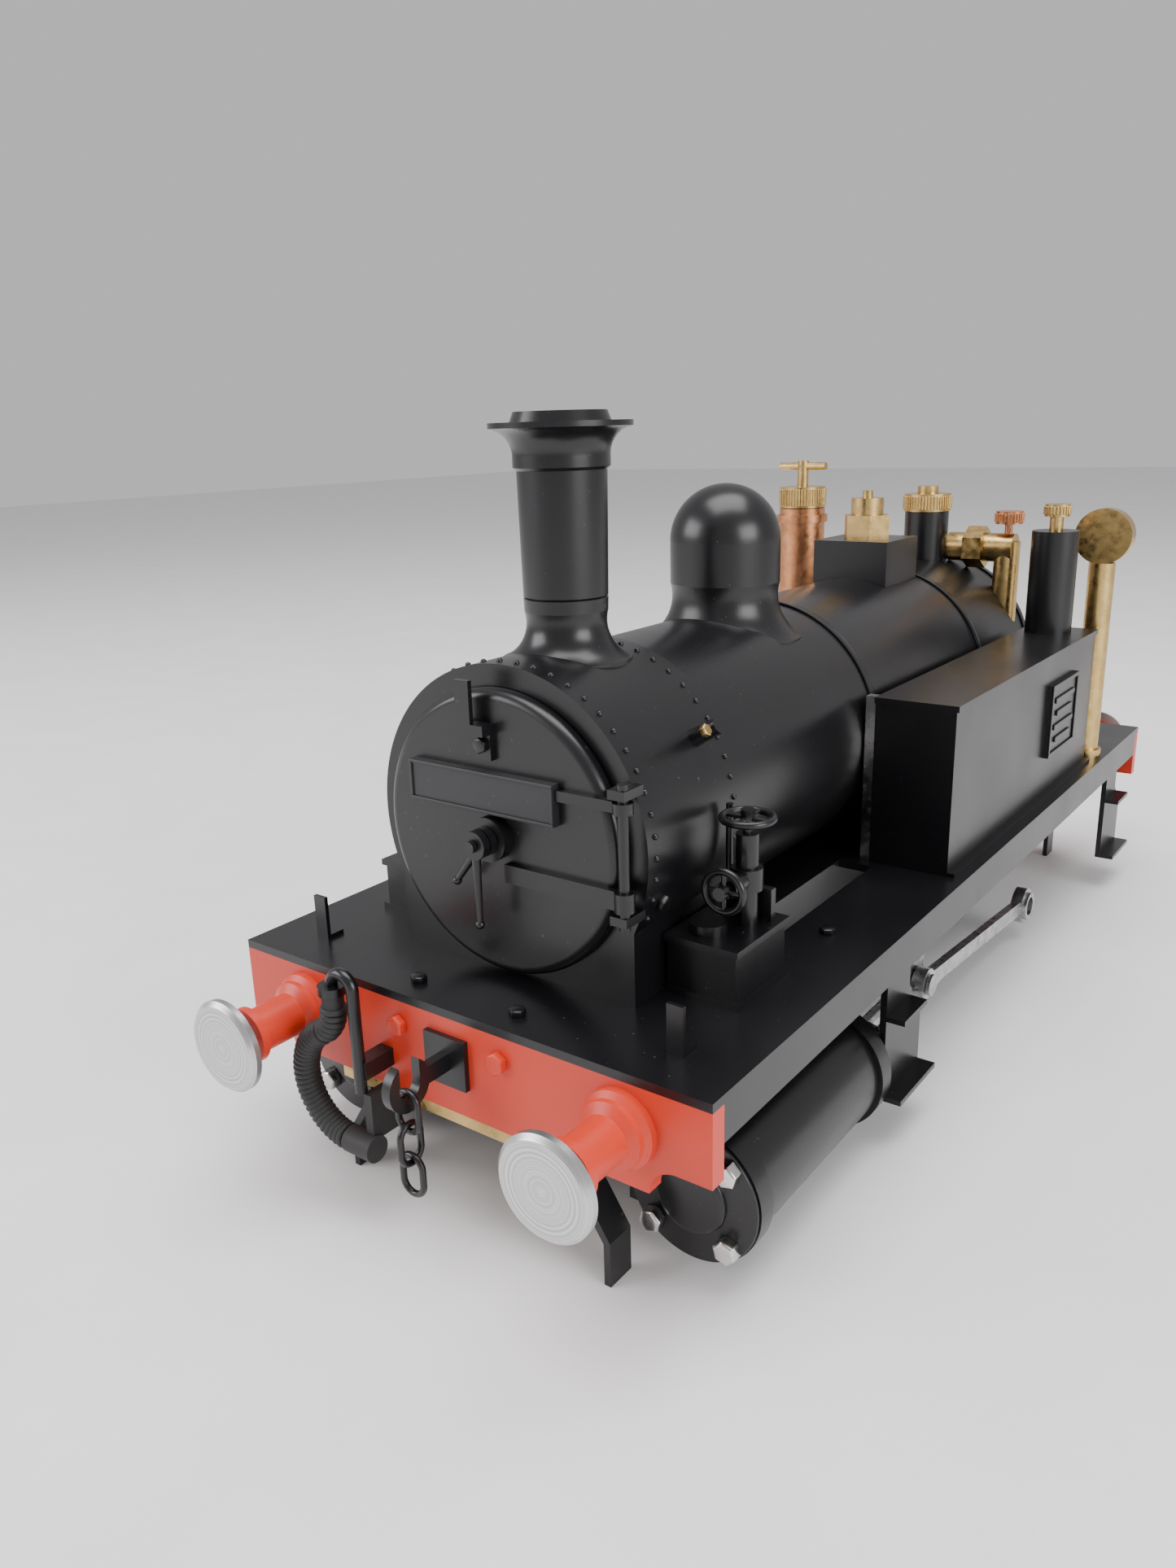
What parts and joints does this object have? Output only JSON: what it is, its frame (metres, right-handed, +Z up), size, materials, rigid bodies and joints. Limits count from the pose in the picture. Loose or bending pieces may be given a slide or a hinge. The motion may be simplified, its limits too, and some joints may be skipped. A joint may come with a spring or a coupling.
{
  "type": "model steam tank locomotive",
  "caption": "Wheel-less Gauge 1 scale live-steam tank locomotive with sprung buffers, opening smokebox door, coupling chain and hanging connecting rods.",
  "frame": {"origin": "centre of the bounding box in plan, at the level of the guard iron tips that the engine stands on", "axes": "+Z up, -Y forwards to the smokebox door, +X across to the engine side with the drain valve"},
  "size_m": [0.0826, 0.2234, 0.1059],
  "materials": {
    "satin_black": "satin",
    "beam_red": "satin",
    "turned_steel": "brushed",
    "bright_steel": "polished",
    "brass": "polished",
    "copper": "polished",
    "hose": "matt"
  },
  "bodies": {
    "chassis": {"boiler_cladding": "satin_black", "buffer_barrels": "beam_red", "chimney": "satin_black", "cylinder_left": "satin_black", "cylinder_right": "satin_black", "drain_valve": "satin_black", "draw_hooks": "satin_black", "filler_turret": "satin_black", "footplate": "satin_black", "frame_stretchers": "brass", "front_buffer_beam": "beam_red", "front_guard_irons": "satin_black", "front_steps": "satin_black", "gas_valve_body": "satin_black", "inner_boiler": "copper", "lubricator_pot": "copper", "main_frame_left": "satin_black", "main_frame_right": "satin_black", "pressure_gauge": "brass", "rear_buffer_beam": "beam_red", "rear_guard_irons": "satin_black", "rear_steps": "satin_black", "safety_valve": "brass", "safety_valve_base": "satin_black", "sandboxes": "satin_black", "side_tank_left": "satin_black", "side_tank_right": "satin_black", "slide_bars_left": "bright_steel", "slide_bars_right": "bright_steel", "smokebox": "satin_black", "smokebox_side_plugs": "brass", "steam_dome": "satin_black", "steam_elbow": "brass", "tank_edge_strips": "bright_steel", "vacuum_hose": "hose", "vacuum_standpipe": "satin_black"},
    "door": {"smokebox_door": "satin_black", "door_hinge_straps": "satin_black", "number_plate": "satin_black", "door_lamp_iron": "satin_black", "door_dart": "satin_black"},
    "inner_handle": {"dart_handle_inner": "satin_black"},
    "outer_handle": {"dart_handle_outer": "satin_black"},
    "buffer_head_front_right": {"buffer_head_front_right": "turned_steel"},
    "buffer_head_front_left": {"buffer_head_front_left": "turned_steel"},
    "buffer_head_rear_right": {"buffer_head_rear_right": "turned_steel"},
    "buffer_head_rear_left": {"buffer_head_rear_left": "turned_steel"},
    "chain_link_1": {"chain_link_1": "satin_black"},
    "chain_link_2": {"chain_link_2": "satin_black"},
    "chain_link_3": {"chain_link_3": "satin_black"},
    "drain_handwheel_top": {"drain_handwheel_top": "satin_black"},
    "drain_handwheel_front": {"drain_handwheel_front": "satin_black"},
    "filler_cap": {"filler_cap": "brass"},
    "steam_valve_knob": {"steam_valve_knob": "brass"},
    "gas_valve_spindle": {"gas_valve_spindle": "brass"},
    "lubricator_cap": {"lubricator_cap": "brass"},
    "crosshead_right": {"crosshead_right": "bright_steel"},
    "connecting_rod_right": {"connecting_rod_right": "bright_steel"},
    "crosshead_left": {"crosshead_left": "bright_steel"},
    "connecting_rod_left": {"connecting_rod_left": "bright_steel"}
  },
  "joints": [
    {"name": "door_hinge", "type": "hinge", "parent": "chassis", "child": "door", "pos_m": [0.0206, -0.0859, 0.0532], "axis": [0, 0, 1], "range_deg": [0, 110]},
    {"name": "inner_handle_turn", "type": "hinge", "parent": "door", "child": "inner_handle", "pos_m": [0, -0.0879, 0.0532], "axis": [0, 1, 0], "range_deg": [-60, 40]},
    {"name": "outer_handle_turn", "type": "hinge", "parent": "door", "child": "outer_handle", "pos_m": [0, -0.0894, 0.0532], "axis": [0, 1, 0], "range_deg": [-90, 90]},
    {"name": "buffer_front_right", "type": "slide", "parent": "chassis", "child": "buffer_head_front_right", "axis": [0, 1, 0], "range_m": [0, 0.0018], "stiffness_N_per_m": 500},
    {"name": "buffer_front_left", "type": "slide", "parent": "chassis", "child": "buffer_head_front_left", "axis": [0, 1, 0], "range_m": [0, 0.0018], "stiffness_N_per_m": 500},
    {"name": "buffer_rear_right", "type": "slide", "parent": "chassis", "child": "buffer_head_rear_right", "axis": [0, -1, 0], "range_m": [0, 0.0018], "stiffness_N_per_m": 500},
    {"name": "buffer_rear_left", "type": "slide", "parent": "chassis", "child": "buffer_head_rear_left", "axis": [0, -1, 0], "range_m": [0, 0.0018], "stiffness_N_per_m": 500},
    {"name": "link_swing_1", "type": "hinge", "parent": "chassis", "child": "chain_link_1", "pos_m": [0, -0.1046, 0.0252], "axis": [1, 0, 0], "range_deg": [-20, 20]},
    {"name": "link_swing_2", "type": "hinge", "parent": "chain_link_1", "child": "chain_link_2", "pos_m": [0, -0.1046, 0.0196], "axis": [1, 0, 0], "range_deg": [-20, 20]},
    {"name": "link_swing_3", "type": "hinge", "parent": "chain_link_2", "child": "chain_link_3", "pos_m": [0, -0.1046, 0.01505], "axis": [0, 1, 0], "range_deg": [-25, 25]},
    {"name": "drain_handwheel_top_turn", "type": "hinge", "parent": "chassis", "child": "drain_handwheel_top", "pos_m": [0.0274, -0.068, 0.0556], "axis": [0, 0, 1], "continuous": true},
    {"name": "drain_handwheel_front_turn", "type": "hinge", "parent": "chassis", "child": "drain_handwheel_front", "pos_m": [0.0274, -0.074, 0.0475], "axis": [0, 1, 0], "continuous": true},
    {"name": "filler_cap_turn", "type": "hinge", "parent": "chassis", "child": "filler_cap", "pos_m": [0, 0.0595, 0.085], "axis": [0, 0, 1], "continuous": true},
    {"name": "steam_valve_knob_turn", "type": "hinge", "parent": "chassis", "child": "steam_valve_knob", "pos_m": [0.017, 0.062, 0.083], "axis": [0, 0, 1], "continuous": true},
    {"name": "gas_valve_spindle_turn", "type": "hinge", "parent": "chassis", "child": "gas_valve_spindle", "pos_m": [0.0287, 0.0545, 0.085], "axis": [0, 0, 1], "continuous": true},
    {"name": "lubricator_cap_turn", "type": "hinge", "parent": "chassis", "child": "lubricator_cap", "pos_m": [-0.026, 0.052, 0.088], "axis": [0, 0, 1], "continuous": true},
    {"name": "crosshead_slide_right", "type": "slide", "parent": "chassis", "child": "crosshead_right", "axis": [0, 1, 0], "range_m": [-0.00875, 0.00875]},
    {"name": "connecting_rod_swing_right", "type": "hinge", "parent": "crosshead_right", "child": "connecting_rod_right", "pos_m": [0.032, -0.0155, 0.012], "axis": [1, 0, 0], "range_deg": [0, 8]},
    {"name": "crosshead_slide_left", "type": "slide", "parent": "chassis", "child": "crosshead_left", "axis": [0, 1, 0], "range_m": [-0.00875, 0.00875]},
    {"name": "connecting_rod_swing_left", "type": "hinge", "parent": "crosshead_left", "child": "connecting_rod_left", "pos_m": [-0.032, -0.0155, 0.012], "axis": [1, 0, 0], "range_deg": [0, 8]}
  ]
}
